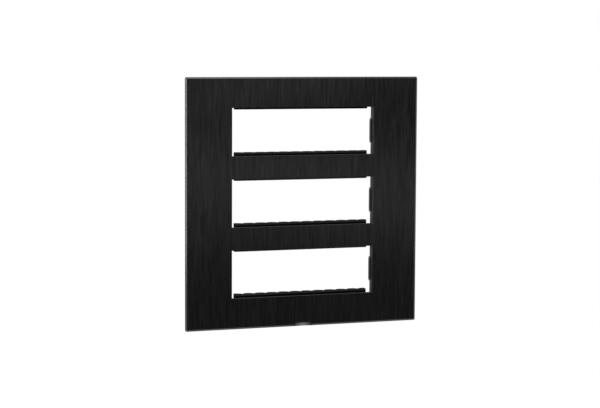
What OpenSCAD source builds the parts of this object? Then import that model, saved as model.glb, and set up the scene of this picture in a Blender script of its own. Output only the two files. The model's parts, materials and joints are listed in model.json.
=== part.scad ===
// Wall plate with three module windows: a clipped cover and the support frame behind it.
// Lengths are in millimetres. X runs to the right, Z up, and the face looks along -Y.
// The wall is the plane y = 0. The origin is the middle of the four wall screw slots.

/* [Face plate] */
// Width of the face plate
plate_w = 223.4; // [214:0.2:230]
// Height of the face plate
plate_h = 226.8; // [222:0.2:236]
// Thickness of the face plate
face_t = 1.5; // [1:0.1:2.5]
// Width of the sloped border round the face
border_w = 1.4; // [0.5:0.1:2.5]
// Depth of the border at the edge of the plate
border_d = 0.4; // [0.1:0.1:0.9]
// Corner radius of the face plate
corner_r = 1.6; // [1:0.1:4]
// Width of the prising scoop in the lower edge
scoop_w = 19; // [12:0.5:24]
// Height of the prising scoop on the face
scoop_h = 3.5; // [2:0.1:4]
// Depth of the scoop at the lower edge
scoop_d = 1; // [0.6:0.1:1.4]

/* [Windows] */
// Width of a window
window_w = 136; // [130:0.5:142]
// Height of a window
window_h = 45.2; // [44:0.1:45.8]
// Distance from one row of windows to the next
row_pitch = 64; // [63.2:0.1:68]
// Bevel along the front edge of each window
window_bevel = 0.4; // [0.1:0.1:0.8]

/* [Cover frame] */
// Thickness of the adhesive film
film_t = 0.2; // [0.1:0.05:0.5]
// Distance of the film from the edges of the face
film_inset = 3; // [2:0.1:4]
// Thickness of the web behind the face
web_t = 2; // [1.5:0.1:3]
// Distance of the web from the upper and lower window edges
web_setback = 0.8; // [0:0.1:1.5]
// Thickness of the rim
rim_t = 1.8; // [1.2:0.1:2.5]
// Distance of the rim from the edge of the face
rim_inset = 2.6; // [1:0.1:3]
// Gap between the rim and the wall
rim_wall_gap = 0.4; // [0.3:0.1:1]
// Thickness of the cheeks at the window sides
cheek_t = 1.4; // [1:0.1:2]
// Gap between a cheek and the foot of the clip behind it
cheek_gap = 0.5; // [0.3:0.1:0.6]
// Height of the ribs on the web
web_rib_h = 1.2; // [0.6:0.1:1.4]
// Thickness of the ribs on the web
web_rib_t = 1.2; // [0.8:0.1:2]
// Distance of the rib ends from the plate's edge
web_rib_end = 12; // [8:0.5:20]
// Width of the prising slot in the lower rim
prise_w = 14; // [8:0.5:20]
// Depth of the prising slot behind the web
prise_d = 3.2; // [2:0.1:4]

/* [Support frame] */
// Thickness of the base
base_t = 2; // [2:0.1:4]
// Space between the cover's web and the base
cavity = 4.6; // [4.6:0.1:7]
// Gap between the cover's rim and the support frame
cover_fit = 0.5; // [0.3:0.1:1]
// Gap between the cover's web and the upstand that it seats on
seat_gap = 0.3; // [0.3:0.05:0.6]
// Thickness of the upstand round the base
upstand_t = 1.6; // [1:0.1:2.5]
// Corner radius of the base
base_r = 2; // [1:0.1:4]
// Distance of the base from the window edges
base_setback = 2.6; // [2:0.1:2.9]
// Height of the ribs on the base
base_rib_h = 2.8; // [1.5:0.1:2.8]
// Thickness of the ribs on the base
base_rib_t = 1.4; // [1:0.1:2]
// Distance of the side ribs from the edge of the base
side_rib_inset = 10; // [6:0.5:14]
// Depth of the relief pockets in the back
pocket_d = 0.8; // [0.3:0.1:1.2]
// Width of a pocket across its margin
pocket_w = 9; // [5:0.5:10]
// Number of pockets along each margin
pocket_count = 5; // [2:1:8]
// Distance from one pocket to the next
pocket_gap = 4; // [2:0.5:8]
// Distance of the pockets from the edge of the base
pocket_inset = 4.6; // [3:0.1:5]
// Corner radius of a pocket
pocket_r = 1; // [0.5:0.1:2]

/* [Module rails] */
// Width of one wiring module
module_w = 22.5; // [20:0.5:25]
// Reach of a lower rail into the window
lower_reach = 4.4; // [2:0.1:5]
// Reach of an upper rail into the window
upper_reach = 2.4; // [2:0.1:5]
// Distance of the rail ends from the window sides
rail_end_gap = 4.4; // [3:0.1:6]
// Width of the foot that lies on the base
foot_w = 5.2; // [4.6:0.1:5.6]
// Thickness of the feet of rails and clips
foot_t = 1.4; // [1:0.1:1.5]
// Height of the ramp below the tip of a rail
ramp_h = 0.6; // [0.3:0.1:1]
// Depth of the lobes along the rear edge
lobe_depth = 5; // [3:0.1:5.2]
// Gap between the lobes and the wall
lobe_wall_gap = 0.3; // [0.1:0.1:0.6]
// Thickness of the nose in front of the hollows between lobes
nose_t = 0.6; // [0.4:0.1:0.8]
// Distance between the stakes of a rail
rail_stake_pitch = 50; // [30:1:55]

/* [Clips] */
// Height of a clip
clip_h = 22.5; // [18:0.5:28]
// Taper at each end of the tongue
clip_taper = 2.5; // [1:0.1:3]
// Thickness of the tongue
tongue_t = 0.95; // [0.8:0.05:1.2]
// Gap between the tongue and the cheek
tongue_gap = 0.15; // [0.1:0.05:0.3]
// Radius of the catch bead
bead_r = 0.65; // [0.4:0.05:0.7]
// Gap round the bead in its slot
bead_gap = 0.2; // [0.1:0.05:0.25]
// Distance of the bead's slot from the web
catch_wall = 0.5; // [0.3:0.1:0.6]
// Distance of the bead's ends from the ends of the tongue
bead_end = 0.75; // [0.5:0.05:3]
// Length of the foot that lies on the base
clip_foot = 7; // [5:0.5:8]

/* [Fixings] */
// Width of a wall screw slot
slot_w = 4.2; // [3.6:0.1:5]
// Length of a wall screw slot
slot_l = 10; // [7:0.5:12]
// Distance of the slot centres from the window sides
slot_offset = 14; // [12:0.5:18]
// Height of the screw pads above the base
pad_h = 2; // [0.5:0.1:2.5]
// Width of the pad round a slot
pad_border = 2.8; // [1.5:0.1:4]
// Radius of the stakes that hold rails and clips
stake_r = 1.5; // [1:0.1:2]
// Gap round a stake in its hole
stake_gap = 0.05; // [0.02:0.01:0.1]
// Distance of the stake ends from the wall
stake_short = 0.4; // [0.2:0.1:1]
// Thickness of the head formed on the end of a stake
head_t = 0.8; // [0.4:0.1:1]
// Width of the head's rim round the stake
head_rim = 0.5; // [0.2:0.05:0.6]
// Gap round a head in its recess
head_gap = 0.1; // [0.05:0.05:0.2]

/* [Hidden] */
$fn = 64;
// Overshoot of cutting shapes
over = 1;
// Smallest radius of a corner drawn in from an edge
least_r = 0.2;

row_names = ["top", "middle", "bottom"];
rows = [0, 1, 2];
sides = [-1, 1];

// Depth levels, from the face back to the wall at zero
y_face = -(face_t + film_t + web_t + cavity + base_t);
y_film = y_face + face_t;
y_web = y_film + film_t;
y_back = y_web + web_t;
y_base = -base_t;
y_foot = y_base - foot_t;
y_cheek = y_foot - cheek_gap;
y_upstand = y_back + seat_gap;
y_slot = y_back + catch_wall;
y_bead = y_slot + bead_gap + bead_r;
y_crest = -lobe_wall_gap;
y_hollow = y_crest - lobe_depth;
y_nose = y_hollow - nose_t;
y_head = -stake_short - head_t;

// Sizes of the base and its openings
base_w = plate_w - 2 * (rim_inset + rim_t + cover_fit);
base_h = plate_h - 2 * (rim_inset + rim_t + cover_fit);
base_open_w = window_w + 2 * base_setback;
base_open_h = window_h + 2 * base_setback;

// Rails: one lobe for each half module, over the whole length
rail_l = window_w - 2 * rail_end_gap;
lobe_pitch = module_w / 2;
lobe_r = (pow(lobe_pitch / 2, 2) + pow(lobe_depth, 2)) / (2 * lobe_depth);
lobe_pairs = ceil(rail_l / 2 / lobe_pitch);
rail_stake_z = -base_setback - foot_w / 2;

// Clips: inner and outer face of the tongue, and the outer end of the foot
tongue_out = window_w / 2 - tongue_gap;
tongue_in = tongue_out - tongue_t;
clip_end = base_open_w / 2 + clip_foot;
clip_stake_x = base_open_w / 2 + clip_foot / 2;
clip_stake_z = clip_h / 4;
bead_l = clip_h - 2 * (clip_taper + bead_end);

// Wall screw slots at the ends of the two cross bars
slot_x = window_w / 2 + slot_offset;
slot_z = row_pitch / 2;

// Prising scoop: a ramp with conical ends that runs out at the lower edge of the plate
plate_bottom = -plate_h / 2;
scoop_slope = scoop_h / scoop_d;
scoop_end_x = scoop_w / 2 - sqrt(pow(scoop_h + over, 2) - pow(over, 2));

// Height of a row's middle
function row_z(row) = (1 - row) * row_pitch;

// Extrudes an outline in x and z from one depth to another
module slab(y0, y1) {
  translate([0, y1, 0]) rotate([90, 0, 0]) linear_extrude(y1 - y0) children();
}

// Extrudes an outline in y and z along X, centred
module along_x(l) {
  rotate([90, 0, 90]) translate([0, 0, -l / 2]) linear_extrude(l) children();
}

// Extrudes an outline in x and y along Z, centred
module along_z(l) {
  translate([0, 0, -l / 2]) linear_extrude(l) children();
}

// Turns a solid drawn along Z so that it points into the wall
module along_y() {
  rotate([-90, 0, 0]) children();
}

module rounded_rect(w, h, r) {
  square([w - 2 * r, h], center = true);
  square([w, h - 2 * r], center = true);
  for (x = sides, z = sides)
    translate([x * (w / 2 - r), z * (h / 2 - r)]) circle(r);
}

// Outline of the plate, drawn in from its edge
module plate_outline(inset) {
  rounded_rect(plate_w - 2 * inset, plate_h - 2 * inset, max(corner_r - inset, least_r));
}

module base_outline(inset) {
  rounded_rect(base_w - 2 * inset, base_h - 2 * inset, max(base_r - inset, least_r));
}

// Openings of all rows, grown on each side
module window_outlines(grow_x, grow_z) {
  for (row = rows)
    translate([0, row_z(row)])
      square([window_w + 2 * grow_x, window_h + 2 * grow_z], center = true);
}

// Plate whose front slopes back in a narrow border, round the corners too
module bordered_plate() {
  x = plate_w / 2;
  z = plate_h / 2;
  b = border_w;
  r = max(corner_r, b + least_r);
  y_edge = y_face + border_d;
  along_z(plate_h - 2 * r)
    polygon([[b - x, y_face], [x - b, y_face], [x, y_edge], [x, y_film], [-x, y_film], [-x, y_edge]]);
  along_x(plate_w - 2 * r)
    polygon([[y_face, b - z], [y_face, z - b], [y_edge, z], [y_film, z], [y_film, -z], [y_edge, -z]]);
  for (i = sides, k = sides) translate([i * (x - r), 0, k * (z - r)]) along_y() {
    translate([0, 0, y_face]) cylinder(h = border_d, r1 = r - b, r2 = r);
    translate([0, 0, y_edge]) cylinder(h = y_film - y_edge, r = r);
  }
}

// Cutter for one window, flared at the front to bevel its edges
module window_cutter() {
  x = window_w / 2;
  z = window_h / 2;
  flare = window_bevel + over;
  y0 = y_face - over;
  y1 = y_film + over;
  bend = y_face + window_bevel;
  intersection() {
    along_z(window_h + 2 * flare)
      polygon([[-x - flare, y0], [x + flare, y0], [x, bend], [x, y1], [-x, y1], [-x, bend]]);
    along_x(window_w + 2 * flare)
      polygon([[y0, -z - flare], [y0, z + flare], [bend, z], [y1, z], [y1, -z], [bend, -z]]);
  }
}

module scoop_cutter() {
  front_r = scoop_h + over + over * scoop_slope;
  back_r = over / 2;
  l = (front_r - back_r) / scoop_slope;
  translate([0, y_face - over, plate_bottom - over]) {
    along_x(2 * scoop_end_x) polygon([[0, 0], [0, front_r], [l, back_r], [l, 0]]);
    for (side = sides) translate([side * scoop_end_x, 0, 0])
      along_y() cylinder(h = l, r1 = front_r, r2 = back_r);
  }
}

module face_plate() {
  color("#2a2a2b") difference() {
    bordered_plate();
    for (row = rows) translate([0, 0, row_z(row)]) window_cutter();
    scoop_cutter();
  }
}

module bonding_film() {
  color("#8f8f88") slab(y_film, y_web) difference() {
    plate_outline(film_inset);
    window_outlines(film_inset, film_inset);
  }
}

// Ribs on the back of the web: round the windows and across the two bars
module web_ribs() {
  column_x = (window_w / 2 + plate_w / 2) / 2;
  margin_z = (row_pitch + window_h / 2 + plate_h / 2) / 2;
  slab(y_back - over, y_back + web_rib_h) {
    for (side = sides) {
      translate([side * column_x, 0])
        square([web_rib_t, plate_h - 2 * web_rib_end], center = true);
      translate([0, side * margin_z])
        square([plate_w - 2 * web_rib_end, web_rib_t], center = true);
      translate([0, side * row_pitch / 2])
        square([window_w, web_rib_t], center = true);
    }
  }
}

// Cheek at the side of a window, with the slot that takes a clip's bead
module cheek(side) {
  x = side * (window_w + cheek_t) / 2;
  slot_h = bead_l + 2 * bead_gap;
  difference() {
    slab(y_back - over, y_cheek)
      translate([x, 0]) square([cheek_t, window_h + 2 * web_setback], center = true);
    slab(y_slot, y_bead + bead_r + bead_gap)
      translate([x, 0]) square([cheek_t + 2 * over, slot_h], center = true);
  }
}

module cover_frame() {
  rim_end = rim_inset + rim_t;
  color("#1b1b1c") difference() {
    union() {
      slab(y_web, y_back) difference() {
        plate_outline(rim_inset);
        window_outlines(0, web_setback);
      }
      slab(y_back - over, -rim_wall_gap) difference() {
        plate_outline(rim_inset);
        plate_outline(rim_end);
      }
      web_ribs();
      for (row = rows, side = sides) translate([0, 0, row_z(row)]) cheek(side);
    }
    slab(y_back, y_back + prise_d)
      translate([0, plate_bottom + rim_end / 2]) square([prise_w, rim_end + over], center = true);
  }
}

// Outline of a slot with round ends, grown by a border
module slot_outline(grow) {
  r = slot_w / 2 + grow;
  for (side = sides) translate([side * (slot_l - slot_w) / 2, 0]) circle(r);
  square([slot_l - slot_w, 2 * r], center = true);
}

// Ribs on the base: one along each bar and one down each side
module base_ribs() {
  slab(y_base - base_rib_h, y_base + over) {
    for (side = sides) {
      translate([0, side * row_pitch / 2])
        square([base_open_w, base_rib_t], center = true);
      translate([side * (base_w / 2 - side_rib_inset), 0])
        square([base_rib_t, base_h - upstand_t], center = true);
    }
  }
}

// Relief pockets side by side along one margin of the back
module pocket_row(margin_l) {
  row_l = margin_l - 2 * (pocket_inset + pocket_w + pocket_gap);
  pocket_l = (row_l + pocket_gap) / pocket_count - pocket_gap;
  for (i = [0 : pocket_count - 1])
    translate([(i - (pocket_count - 1) / 2) * (pocket_l + pocket_gap), 0])
      rounded_rect(pocket_l, pocket_w, pocket_r);
}

// Relief pockets along all four margins
module pockets() {
  depth = pocket_inset + pocket_w / 2;
  for (side = sides) {
    translate([side * (base_w / 2 - depth), 0]) rotate(90) pocket_row(base_h);
    translate([0, side * (base_h / 2 - depth)]) pocket_row(base_w);
  }
}

// Places its children at the wall screw slots
module at_slots() {
  for (x = sides, z = sides) translate([x * slot_x, z * slot_z]) children();
}

// Pin that goes through the base, with its end formed into a low head
module stake() {
  along_y() {
    translate([0, 0, y_base - over]) cylinder(h = y_head - y_base + over, r = stake_r);
    translate([0, 0, y_head]) cylinder(h = head_t, r1 = stake_r + head_rim, r2 = stake_r);
  }
}

// Stepped hole for a stake and its head
module stake_hole() {
  along_y() {
    translate([0, 0, y_base - over]) cylinder(h = base_t + 2 * over, r = stake_r + stake_gap);
    translate([0, 0, y_head]) cylinder(h = over - y_head, r = stake_r + head_rim + head_gap);
  }
}

// Places its children at the stakes of a rail, in the rail's own place
module at_rail_stakes() {
  for (i = [-1, 0, 1]) translate([i * rail_stake_pitch, 0, rail_stake_z]) children();
}

// Places its children at the stakes of a clip, in the clip's own place
module at_clip_stakes() {
  for (z = sides) translate([clip_stake_x, 0, z * clip_stake_z]) children();
}

// Moves a rail drawn at the lower edge of a window to its own edge
module at_rail(row, edge) {
  translate([0, 0, row_z(row) + edge * window_h / 2])
    mirror([0, 0, edge > 0 ? 1 : 0]) children();
}

// Moves a clip drawn at the right side of a window to its own side
module at_clip(row, side) {
  translate([0, 0, row_z(row)]) mirror([side < 0 ? 1 : 0, 0, 0]) children();
}

module support_frame() {
  color("#202021") difference() {
    union() {
      slab(y_base, 0) difference() {
        base_outline(0);
        window_outlines(base_setback, base_setback);
      }
      slab(y_upstand, y_base + over) difference() {
        base_outline(0);
        base_outline(upstand_t);
      }
      base_ribs();
      slab(y_base - pad_h, y_base + over) at_slots() slot_outline(pad_border);
    }
    slab(y_base - pad_h - over, over) at_slots() slot_outline(0);
    slab(-pocket_d, over) pockets();
    for (row = rows, side = sides) {
      at_rail(row, side) at_rail_stakes() stake_hole();
      at_clip(row, side) at_clip_stakes() stake_hole();
    }
  }
}

// Rail drawn at the lower edge of a window: a flat foot, and a ramped nose with a lobed rear edge
module module_rail(row, edge) {
  reach = edge > 0 ? upper_reach : lower_reach;
  low = -base_setback;
  brace = low + y_foot - y_nose;
  section = [
    [y_foot, low - over], [y_foot, low], [y_nose, brace], [y_nose, reach - ramp_h],
    [y_nose + nose_t / 2, reach], [0, reach], [0, low], [y_base, low], [y_base, low - over]
  ];
  color("#101011") at_rail(row, edge) {
    slab(y_foot, y_base)
      translate([-rail_l / 2, low - foot_w]) square([rail_l, foot_w]);
    intersection() {
      along_x(rail_l) polygon(section);
      along_z(2 * (reach + base_setback + foot_w)) {
        translate([-rail_l / 2, y_nose]) square([rail_l, nose_t]);
        for (i = [-lobe_pairs : lobe_pairs - 1])
          translate([(i + 0.5) * lobe_pitch, y_crest - lobe_r]) circle(lobe_r);
      }
    }
    at_rail_stakes() stake();
  }
}

// Clip drawn at the right side of a window: a flat foot and a tongue with a catch bead
module retaining_clip(row, side) {
  y_tip = y_bead - bead_r;
  section = [
    [tongue_in, y_tip], [tongue_out, y_tip], [tongue_out, y_foot],
    [clip_end, y_foot], [clip_end, y_base], [tongue_out, y_base], [tongue_in, y_foot]
  ];
  outline = [
    [tongue_in, clip_taper - clip_h / 2], [tongue_out, -clip_h / 2], [clip_end, -clip_h / 2],
    [clip_end, clip_h / 2], [tongue_out, clip_h / 2], [tongue_in, clip_h / 2 - clip_taper]
  ];
  color("#171718") at_clip(row, side) {
    intersection() {
      along_z(clip_h) polygon(section);
      slab(y_tip, y_base) polygon(outline);
    }
    intersection() {
      translate([tongue_out, y_bead, -bead_l / 2]) cylinder(h = bead_l, r = bead_r);
      slab(y_tip, y_foot) translate([tongue_in, -clip_h / 2]) square([tongue_t + bead_r, clip_h]);
    }
    at_clip_stakes() stake();
  }
}

face_plate();
bonding_film();
cover_frame();
support_frame();
for (row = rows) {
  name = str(row_names[row], "_row_");
  module_rail(row, 1);
  module_rail(row, -1);
  retaining_clip(row, -1);
  retaining_clip(row, 1);
}
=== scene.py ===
"""Looks of a three-row wall plate: finishes, softened edges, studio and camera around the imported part."""

import json
import math

import bpy
from mathutils import Matrix, Vector


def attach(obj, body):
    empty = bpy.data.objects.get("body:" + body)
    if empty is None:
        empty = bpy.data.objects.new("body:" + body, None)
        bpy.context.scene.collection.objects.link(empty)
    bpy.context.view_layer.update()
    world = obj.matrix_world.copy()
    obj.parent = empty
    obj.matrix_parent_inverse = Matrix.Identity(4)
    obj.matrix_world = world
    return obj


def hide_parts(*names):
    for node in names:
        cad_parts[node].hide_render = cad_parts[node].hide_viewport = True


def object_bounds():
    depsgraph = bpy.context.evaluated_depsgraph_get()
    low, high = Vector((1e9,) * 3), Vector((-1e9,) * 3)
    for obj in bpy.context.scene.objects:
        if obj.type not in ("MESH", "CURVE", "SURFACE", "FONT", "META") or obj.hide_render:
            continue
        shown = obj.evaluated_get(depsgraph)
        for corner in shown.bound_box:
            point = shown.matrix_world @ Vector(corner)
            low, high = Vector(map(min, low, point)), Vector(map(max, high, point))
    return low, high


MM = 0.001

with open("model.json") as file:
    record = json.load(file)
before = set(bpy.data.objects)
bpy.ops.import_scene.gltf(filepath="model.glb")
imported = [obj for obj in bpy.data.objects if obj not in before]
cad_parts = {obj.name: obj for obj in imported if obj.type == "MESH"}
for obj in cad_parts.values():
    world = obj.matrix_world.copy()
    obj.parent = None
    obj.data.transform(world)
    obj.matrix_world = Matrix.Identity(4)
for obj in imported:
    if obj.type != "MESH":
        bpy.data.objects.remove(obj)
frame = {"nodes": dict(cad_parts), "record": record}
cad_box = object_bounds()
scene = bpy.context.scene

# Camera at the photograph's angle: left of the plate and a little above its middle
CAMERA_PLACE = Vector((-577.1, -1551.9, 145.0)) * MM
CAMERA_YAW = math.radians(20.414)
CAMERA_PITCH = math.radians(5.095)
CAMERA_ROLL = math.radians(0.277)
CAMERA_LENS = 109.27

# Studio: a round pale floor well below the plate, in a white room
FLOOR_DROP = 0.33
FLOOR_RADIUS = 9.0
FLOOR_SIDES = 96
FLOOR_GLOW = 0.55
ROOM_LIGHT = 0.5

# Windows of the solid face plate, and how far their lower and upper edges close in on the visible one
WINDOW_W = 136 * MM
WINDOW_H = 45.2 * MM
EDGE_ROOM = 0.6 * MM
SILL_RISE = 1.4 * MM
HEAD_DROP = 0.8 * MM

# Brush lines in mm: across, into and along the face. Real ones are about 0.1 mm wide, too fine to show,
# so a fine and a broad set are drawn that much wider.
FINE_LINE = (0.85, 40, 20)
BROAD_LINE = (3.4, 40, 60)
BROAD_MIX = 0.25

# Darkest and lightest tone of the face plate's surfaces
DYED_FACE = ("#101010", "#1b1b1b")
PUNCHED_WALL = ("#272727", "#2f2f2f")
GROUND_BORDER = ("#474747", "#4f4f4f")
# The scoop's bare grey metal, shown brightest where its painted highlight is full
BARE_SCOOP_AND_HIGHLIGHT = ("#666666", "#7a7a7a")

# How far a surface turns away from the front, as the Y part of its normal: where a tone starts and is full
BORDER_TURN = (-0.99, -0.97)
BEVEL_TURN = (-0.9, -0.85)
WALL_TURN = (-0.85, -0.55)
# How far an edge of a sill turns up, as the Z part of its normal, and how much of the ground tone it takes as
# a painted highlight from the light above
SILL_HIGHLIGHT_TURN = (0.5, 0.65)
SILL_HIGHLIGHT_SHARE = 0.85

# Room that the prising scoop takes in the plate's lower edge, and how the painted highlight on its bare metal
# fades out from the middle
SCOOP_W = 18.4 * MM
SCOOP_H = 3.7 * MM
SCOOP_FADED_W = 15 * MM
SCOOP_BRIGHT_W = 2 * MM
SCOOP_FADED_H = 3.5 * MM
SCOOP_BRIGHT_H = 1.6 * MM

# Rails get a painted light grey where light falls on them: lower rails on top, upper rails on the underside.
# Each pair gives the shares of a rail's height at which the painted grey begins and is full.
PAINTED_LIGHT_TOP = (0.84, 0.9)
PAINTED_LIGHT_UNDERSIDE = (0.34, 0.28)
PAINTED_LIGHT_GREY = "#282828"

# Width in mm of the faint clouds in moulded plastic, and their depth as shares of its colour
CLOUD_SIZE = 18
CLOUD_DEPTH = (0.8, 1.2)

# Values between which most of a noise pattern lies, and most of the two sets of brush lines mixed
NOISE_LOW = 0.3
NOISE_HIGH = 0.7
STREAKS_LOW = 0.37
STREAKS_HIGH = 0.63

# Edge radii left by the mould, the punch or the finishing brush
PLATE_EDGE = 0.12 * MM
MOULD_EDGE = 0.18 * MM
FINE_EDGE = 0.1 * MM
FILM_EDGE = 0.02 * MM
SHARP_ANGLE = math.radians(28)
WELD_REACH = 0.001 * MM


def linear(hex_colour):
    """Linear RGBA of an sRGB hex colour."""
    parts = [int(hex_colour[i:i + 2], 16) / 255 for i in (1, 3, 5)]
    return (*[p / 12.92 if p <= 0.04045 else ((p + 0.055) / 1.055) ** 2.4 for p in parts], 1.0)


def add(tree, kind, inputs=None, stops=(), **settings):
    """Adds a node with its settings and colour stops; an input takes a value, or the output to link it to."""
    made = tree.nodes.new("ShaderNode" + kind)
    for name, value in settings.items():
        setattr(made, name, value)
    for i, (position, colour) in enumerate(stops):
        made.color_ramp.elements[i].position = position
        made.color_ramp.elements[i].color = colour
    for name, value in (inputs or {}).items():
        if isinstance(value, bpy.types.NodeSocket):
            tree.links.new(value, made.inputs[name])
        else:
            made.inputs[name].default_value = value
    return made


def new_material(name):
    """An empty node material with its output node."""
    material = bpy.data.materials.new(name)
    material.use_nodes = True
    material.node_tree.nodes.clear()
    return material, material.node_tree, add(material.node_tree, "OutputMaterial")


def per_mm(size_mm):
    """Texture scale at which one cell of a pattern is that many millimetres wide."""
    return 1 / (size_mm * MM)


def brushed_anodised_aluminium():
    """Aluminium sheet, brushed from top to bottom and dyed black in the anodising bath.

    The eye gets a deep neutral black that still mirrors like metal: highlights smear sideways across
    the brush lines and stay narrow along them, and the lines show as faint upright streaks. The punched
    window walls take the dye a shade lighter, and their bevels a tone between wall and face. The ground
    border is lighter still, and the upward edges of the sills take its tone as a painted highlight. The
    scoop, milled last, shows grey metal with a painted highlight that is brightest in its middle and goes
    dark towards its ends.
    """
    material, tree, output = new_material("anodised_aluminium_brushed")
    coords = add(tree, "TexCoord")
    place = coords.outputs["Object"]
    fine_lines = add(tree, "Mapping", {"Vector": place, "Scale": [per_mm(size) for size in FINE_LINE]})
    broad_lines = add(tree, "Mapping", {"Vector": place, "Scale": [per_mm(size) for size in BROAD_LINE]})
    fine = add(tree, "TexNoise", {"Vector": fine_lines.outputs[0], "Scale": 1.0, "Detail": 3.0,
                                  "Roughness": 0.6}).outputs["Fac"]
    broad = add(tree, "TexNoise", {"Vector": broad_lines.outputs[0], "Scale": 1.0,
                                   "Detail": 2.0}).outputs["Fac"]
    streaks = add(tree, "Mix", {"Factor": BROAD_MIX, "A": fine, "B": broad}).outputs["Result"]

    dye, punched, ground, scoop_metal_and_highlight = (
        add(tree, "ValToRGB", {"Fac": pattern},
            stops=((low, linear(dark)), (high, linear(light)))).outputs["Color"]
        for pattern, low, high, (dark, light) in (
            (streaks, STREAKS_LOW, STREAKS_HIGH, DYED_FACE),
            (fine, NOISE_LOW, NOISE_HIGH, PUNCHED_WALL),
            (fine, NOISE_LOW, NOISE_HIGH, GROUND_BORDER),
            (fine, NOISE_LOW, NOISE_HIGH, BARE_SCOOP_AND_HIGHLIGHT)))

    facing = add(tree, "SeparateXYZ", {"Vector": coords.outputs["Normal"]})
    border_share, bevel_share, wall_share, sill_highlight_share = (
        add(tree, "MapRange", {"Value": facing.outputs[axis], "From Min": start, "From Max": full,
                               "To Max": most}).outputs["Result"]
        for axis, (start, full), most in (
            ("Y", BORDER_TURN, 1.0),
            ("Y", BEVEL_TURN, 1.0),
            ("Y", WALL_TURN, 1.0),
            ("Z", SILL_HIGHLIGHT_TURN, SILL_HIGHLIGHT_SHARE)))

    spot = add(tree, "SeparateXYZ", {"Vector": place})
    off_middle = add(tree, "Math", {0: spot.outputs["X"]}, operation="ABSOLUTE").outputs[0]
    above_edge = add(tree, "Math", {0: spot.outputs["Z"], 1: cad_box[0].z}, operation="SUBTRACT").outputs[0]
    in_width = add(tree, "Math", {0: off_middle, 1: SCOOP_W / 2}, operation="LESS_THAN").outputs[0]
    in_height = add(tree, "Math", {0: above_edge, 1: SCOOP_H}, operation="LESS_THAN").outputs[0]
    highlight_width = add(tree, "MapRange", {"Value": off_middle, "From Min": SCOOP_FADED_W / 2,
                                        "From Max": SCOOP_BRIGHT_W / 2}).outputs["Result"]
    highlight_height = add(tree, "MapRange", {"Value": above_edge, "From Min": SCOOP_FADED_H,
                                         "From Max": SCOOP_BRIGHT_H}).outputs["Result"]
    scoop_share = border_share
    for limit in (in_width, in_height):
        scoop_share = add(tree, "Math", {0: scoop_share, 1: limit}, operation="MULTIPLY").outputs[0]
    scoop_highlight_share = scoop_share
    for limit in (highlight_width, highlight_height):
        scoop_highlight_share = add(tree, "Math", {0: scoop_highlight_share, 1: limit}, operation="MULTIPLY").outputs[0]

    # The sill share paints a highlight on the upward sill edges, and the bare share a painted highlight in
    # the middle of the scoop
    shade = dye
    for share, tint in ((border_share, ground), (bevel_share, dye), (wall_share, punched),
                        (sill_highlight_share, ground), (scoop_share, punched), (scoop_highlight_share, scoop_metal_and_highlight)):
        shade = add(tree, "Mix", {"Factor": share, "A": shade, "B": tint},
                    data_type="RGBA").outputs["Result"]

    rough = add(tree, "MapRange", {"Value": fine, "From Min": NOISE_LOW, "From Max": NOISE_HIGH,
                                   "To Min": 0.22, "To Max": 0.28})
    relief = add(tree, "Bump", {"Height": fine, "Strength": 0.06, "Distance": 0.02 * MM})
    across = add(tree, "Tangent", direction_type="RADIAL", axis="Z")
    shader = add(tree, "BsdfPrincipled", {
        "Base Color": shade, "Metallic": 1.0, "Roughness": rough.outputs["Result"],
        "Specular Tint": linear("#cccccc"), "Anisotropic": 1.0, "Normal": relief.outputs["Normal"],
        "Tangent": across.outputs["Tangent"]})
    tree.links.new(shader.outputs[0], output.inputs["Surface"])
    return material


def grained_plastic(name, colour, ior, roughness, grain_mm, grain_depth_mm, gloss=0.5, painted_light=None):
    """Plastic with a fine sandy grain in its surface and faint clouds in its colour.

    The eye gets an even tone that the grain breaks up. Real grain is about 0.1 mm wide and is drawn several
    times wider, so that it shows. A piece with painted light gets a painted grey above or below a share of
    its height, where light falls on it.
    """
    material, tree, output = new_material(name)
    coords = add(tree, "TexCoord")
    place = coords.outputs["Object"]
    grain = add(tree, "TexNoise", {"Vector": place, "Scale": per_mm(grain_mm), "Detail": 2.0,
                                   "Roughness": 0.55}).outputs["Fac"]
    clouds = add(tree, "TexNoise", {"Vector": place, "Scale": per_mm(CLOUD_SIZE),
                                    "Detail": 3.0}).outputs["Fac"]
    dark, light = ((*[part * depth for part in linear(colour)[:3]], 1.0) for depth in CLOUD_DEPTH)
    shade = add(tree, "ValToRGB", {"Fac": clouds},
                stops=((NOISE_LOW, dark), (NOISE_HIGH, light))).outputs["Color"]
    if painted_light:
        height = add(tree, "SeparateXYZ", {"Vector": coords.outputs["Generated"]}).outputs["Z"]
        painted_lit_share = add(tree, "MapRange", {"Value": height, "From Min": painted_light[0], "From Max": painted_light[1]})
        shade = add(tree, "Mix", {"Factor": painted_lit_share.outputs["Result"], "A": shade, "B": linear(PAINTED_LIGHT_GREY)},
                    data_type="RGBA").outputs["Result"]
    rough = add(tree, "MapRange", {"Value": grain, "From Min": NOISE_LOW, "From Max": NOISE_HIGH,
                                   "To Min": roughness - 0.05, "To Max": roughness + 0.05})
    relief = add(tree, "Bump", {"Height": grain, "Strength": 0.4, "Distance": grain_depth_mm * MM})
    shader = add(tree, "BsdfPrincipled", {
        "Base Color": shade, "Roughness": rough.outputs["Result"], "IOR": ior,
        "Specular IOR Level": gloss, "Normal": relief.outputs["Normal"]})
    tree.links.new(shader.outputs[0], output.inputs["Surface"])
    return material


def soften(piece, width):
    """Rounds the sharp edges of a piece with modifiers, which leave its own mesh as it is."""
    weld = piece.modifiers.new("join_faces", "WELD")
    weld.merge_threshold = WELD_REACH
    bevel = piece.modifiers.new("soft_edges", "BEVEL")
    bevel.width = width
    bevel.segments = 2
    bevel.limit_method = "ANGLE"
    bevel.angle_limit = SHARP_ANGLE
    bevel.harden_normals = True


def dress(piece, material, edge):
    """Gives a piece its finish and its soft edges."""
    piece.data.materials.clear()
    piece.data.materials.append(material)
    soften(piece, edge)


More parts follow.
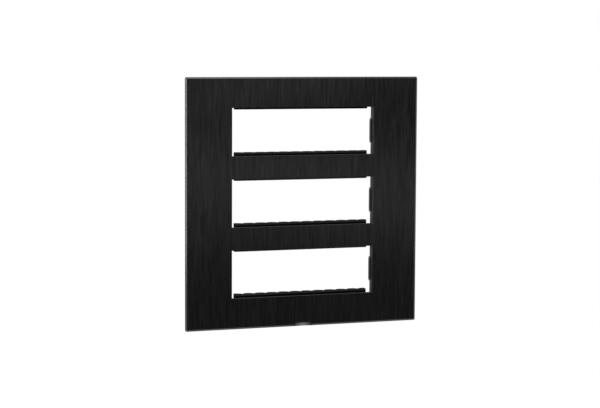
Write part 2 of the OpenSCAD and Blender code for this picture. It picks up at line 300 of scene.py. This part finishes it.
def face_plate_with_low_windows():
    """The face plate with windows a little less high than in the solid, so that less of the rails shows."""
    mesh = frame["nodes"]["face_plate"].data.copy()
    rows = [mount["pos_m"][2] for mount in frame["record"]["mounts"] if mount["name"].endswith("module_bay")]
    for corner in mesh.vertices:
        if abs(corner.co.x) > WINDOW_W / 2 + EDGE_ROOM:
            continue
        height = corner.co.z
        for row in rows:
            if abs(height - (row - WINDOW_H / 2)) < EDGE_ROOM:
                corner.co.z += SILL_RISE
            if abs(height - (row + WINDOW_H / 2)) < EDGE_ROOM:
                corner.co.z -= HEAD_DROP
    piece = bpy.data.objects.new("low_window_face_plate", mesh)
    scene.collection.objects.link(piece)
    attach(piece, "cover")
    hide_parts("face_plate")
    return piece


# Finishes
aluminium = brushed_anodised_aluminium()
# Spark-eroded polycarbonate: a deep matt black with hardly a sheen
cover_plastic = grained_plastic("polycarbonate_spark_textured", "#101010", ior=1.585, roughness=0.5,
                                grain_mm=0.5, grain_depth_mm=0.02, gloss=0.18)
# Matt polycarbonate from a plainer mould: a dark grey veil where the light grazes it
frame_plastic = grained_plastic("polycarbonate_matt_moulded", "#161616", ior=1.585, roughness=0.55,
                                grain_mm=0.6, grain_depth_mm=0.02)
# Moulded polyamide: the blackest pieces, quite dull, and grey only where light is painted on them
rail_look = {"colour": "#030303", "ior": 1.53, "roughness": 0.7,
             "grain_mm": 0.5, "grain_depth_mm": 0.015, "gloss": 0.02}
lower_rail_painted_lit_top = grained_plastic("polyamide_painted_light_on_top", **rail_look, painted_light=PAINTED_LIGHT_TOP)
upper_rail_painted_lit_below = grained_plastic("polyamide_painted_light_below", **rail_look, painted_light=PAINTED_LIGHT_UNDERSIDE)
rail_plastic_without_painted_light = grained_plastic("polyamide_as_moulded", **rail_look)
# Moulded acetal: a smooth satin that gives the clips a soft highlight
clip_plastic = grained_plastic("acetal_satin_moulded", "#111111", ior=1.48, roughness=0.4,
                               grain_mm=0.4, grain_depth_mm=0.008)
# Cast acrylic adhesive: a pale, milky grey line between plate and cover
film = grained_plastic("acrylic_adhesive_film", "#8f8f88", ior=1.47, roughness=0.5,
                       grain_mm=0.8, grain_depth_mm=0.01)

# Pieces
parts = frame["nodes"]
dress(face_plate_with_low_windows(), aluminium, PLATE_EDGE)
dress(parts["bonding_film"], film, FILM_EDGE)
dress(parts["cover_frame"], cover_plastic, MOULD_EDGE)
dress(parts["support_frame"], frame_plastic, MOULD_EDGE)
for row in ("top", "middle", "bottom"):
    # The top row's upper rail stays plain black, as if in shade; the other rows get painted light on the
    # underside
    upper_plastic = rail_plastic_without_painted_light if row == "top" else upper_rail_painted_lit_below
    dress(parts[f"{row}_row_upper_rail"], upper_plastic, FINE_EDGE)
    dress(parts[f"{row}_row_lower_rail"], lower_rail_painted_lit_top, FINE_EDGE)
    for clip in ("left_clip", "right_clip"):
        dress(parts[f"{row}_row_{clip}"], clip_plastic, FINE_EDGE)


def make_camera():
    """The camera: its axes follow from yaw, pitch and roll."""
    ahead = Vector((math.sin(CAMERA_YAW) * math.cos(CAMERA_PITCH),
                    math.cos(CAMERA_YAW) * math.cos(CAMERA_PITCH), -math.sin(CAMERA_PITCH)))
    level = Vector((math.cos(CAMERA_YAW), -math.sin(CAMERA_YAW), 0.0))
    upright = level.cross(ahead)
    right = math.cos(CAMERA_ROLL) * level + math.sin(CAMERA_ROLL) * upright
    up = -math.sin(CAMERA_ROLL) * level + math.cos(CAMERA_ROLL) * upright
    data = bpy.data.cameras.new("camera")
    data.lens = CAMERA_LENS
    camera = bpy.data.objects.new("camera", data)
    axes = Matrix((right, up, -ahead)).transposed().to_4x4()
    camera.matrix_world = Matrix.Translation(CAMERA_PLACE) @ axes
    scene.collection.objects.link(camera)
    scene.camera = camera


def white_share(tree):
    """One for rays that show the background: seen by the camera, in a reflection or through a gap."""
    path = add(tree, "LightPath")
    mirrored = add(tree, "Math", {0: path.outputs["Is Camera Ray"], 1: path.outputs["Is Glossy Ray"]},
                   operation="MAXIMUM")
    return add(tree, "Math", {0: mirrored.outputs[0], 1: path.outputs["Is Transmission Ray"]},
               operation="MAXIMUM").outputs[0]


def make_room():
    """White surroundings that light the object at a plain level."""
    world = bpy.data.worlds.new("white_room")
    scene.world = world
    world.use_nodes = True
    tree = world.node_tree
    tree.nodes.clear()
    level = add(tree, "MapRange", {"Value": white_share(tree), "To Min": ROOM_LIGHT, "To Max": 1.0})
    air = add(tree, "Background", {"Color": (1, 1, 1, 1), "Strength": level.outputs["Result"]})
    add(tree, "OutputWorld", {"Surface": air.outputs[0]})


def make_floor():
    """Pale floor well below the plate; it holds the shadow and runs out to white."""
    low = cad_box[0].z - FLOOR_DROP
    angles = [math.tau * i / FLOOR_SIDES for i in range(FLOOR_SIDES)]
    corners = [(math.cos(a) * FLOOR_RADIUS, math.sin(a) * FLOOR_RADIUS, low) for a in angles]
    mesh = bpy.data.meshes.new("floor")
    mesh.from_pydata(corners, [], [range(FLOOR_SIDES)])
    floor = bpy.data.objects.new("floor", mesh)
    scene.collection.objects.link(floor)
    material, tree, output = new_material("painted_floor_matt")
    paint = add(tree, "BsdfDiffuse", {"Color": linear("#f4f4f4")})
    strength = add(tree, "Math", {0: white_share(tree), 1: FLOOR_GLOW}, operation="MULTIPLY")
    glow = add(tree, "Emission", {"Strength": strength.outputs[0]})
    both = add(tree, "AddShader", {0: paint.outputs[0], 1: glow.outputs[0]})
    tree.links.new(both.outputs[0], output.inputs["Surface"])
    mesh.materials.append(material)


def make_lamp(name, place, target, size, radiance, turn=0.0):
    """A rectangular softbox aimed at a point and turned about its own axis."""
    data = bpy.data.lights.new(name, "AREA")
    data.shape = "RECTANGLE"
    data.size, data.size_y = size
    data.energy = radiance * math.pi * size[0] * size[1]
    lamp = bpy.data.objects.new(name, data)
    aim = (Vector(target) - Vector(place)).to_track_quat("-Z", "Y")
    lamp.matrix_world = Matrix.Translation(place) @ aim.to_matrix().to_4x4() @ Matrix.Rotation(turn, 4, "Z")
    lamp.visible_camera = False
    scene.collection.objects.link(lamp)


make_camera()
make_room()
make_floor()
# Two softboxes light the borders at the top and the left
make_lamp("top_softbox", place=(-0.015, -0.38, 0.43), target=(-0.1, 0, 0.11), size=(0.2, 0.2), radiance=3.6)
make_lamp("left_softbox", place=(-0.65, -0.66, 0.02), target=(-0.11, 0, 0), size=(0.3, 0.36), radiance=11.4)
# Two more are mirrored in the face: a wide strip over its middle and a small panel in its upper part
make_lamp("front_strip", place=(0.51, -1.5, -0.103), target=(0, 0, 0), size=(0.8, 0.136), radiance=4.0,
          turn=math.radians(-11.7))
make_lamp("near_panel", place=(0.08, -0.3, 0.106), target=(0, 0, 0.08), size=(0.2, 0.05), radiance=2.4,
          turn=math.radians(17))

scene.view_settings.view_transform = "Standard"
